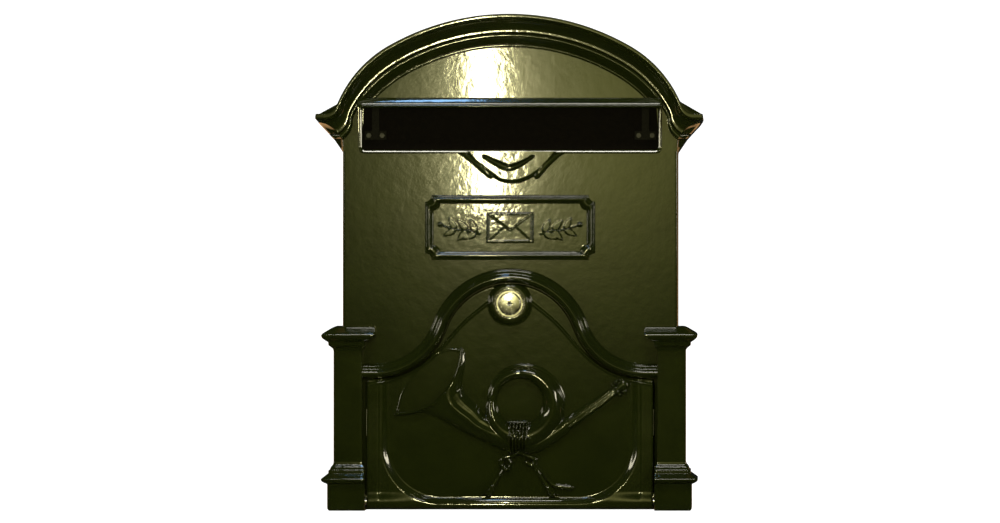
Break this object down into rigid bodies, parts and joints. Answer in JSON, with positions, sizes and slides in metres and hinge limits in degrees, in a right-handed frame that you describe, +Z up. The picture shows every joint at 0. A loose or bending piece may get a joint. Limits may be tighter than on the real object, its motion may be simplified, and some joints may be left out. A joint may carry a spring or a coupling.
{
  "type": "wall mounted mailbox",
  "caption": "Arched wall mailbox in green cast metal with a hooded letter slot, inner flap and a drop-down lockable door with a post horn relief.",
  "frame": {"origin": "middle of the four wall holes, on the back face that lies against the wall", "axes": "+Z up, +Y into the wall, +X to the right as seen from the front; the front faces -Y"},
  "size_m": [0.323, 0.118, 0.414],
  "materials": {
    "green_coat": "gloss dark green powder coat on cast aluminium",
    "galvanised_plate": "zinc plated sheet steel",
    "zinc_screws": "bright zinc",
    "stainless": "turned stainless steel",
    "lock_nickel": "polished nickel",
    "flap_sheet": "satin dark green coat on sheet aluminium",
    "nylon": "natural nylon",
    "rubber": "matt black rubber"
  },
  "bodies": {
    "box": {"front_casting": "green_coat", "body_shell": "green_coat", "back_plate": "galvanised_plate", "front_casting_screws": "zinc_screws", "back_plate_screws": "zinc_screws", "door_hinge_bush_left": "nylon", "door_hinge_bush_right": "nylon", "door_bumpers": "rubber", "flap_hinge_rod": "stainless", "flap_rod_clips": "stainless", "flap_bumpers": "rubber"},
    "door": {"door_casting": "green_coat", "door_hinge_pin_left": "stainless", "door_hinge_pin_right": "stainless", "door_hinge_clips": "stainless", "door_stay_left": "galvanised_plate", "door_stay_right": "galvanised_plate", "door_stay_screws": "zinc_screws", "lock_housing": "lock_nickel", "lock_escutcheon": "lock_nickel", "lock_washer": "zinc_screws", "lock_nut": "zinc_screws"},
    "lock_core": {"lock_plug": "lock_nickel", "lock_cam": "galvanised_plate", "cam_spring_washer": "stainless", "cam_screw": "zinc_screws"},
    "flap": {"flap_plate": "flap_sheet", "flap_strap_left": "flap_sheet", "flap_strap_right": "flap_sheet", "flap_rivets": "flap_sheet"}
  },
  "joints": [
    {"name": "door_hinge", "type": "hinge", "parent": "box", "child": "door", "pos_m": [0, -0.104, -0.143], "axis": [1, 0, 0], "range_deg": [0, 78]},
    {"name": "lock_turn", "type": "hinge", "parent": "door", "child": "lock_core", "pos_m": [0, -0.1, 0.0225], "axis": [0, 1, 0], "range_deg": [0, 90]},
    {"name": "flap_hinge", "type": "hinge", "parent": "box", "child": "flap", "pos_m": [0, -0.0916, 0.1915], "axis": [1, 0, 0], "range_deg": [0, 75]}
  ]
}
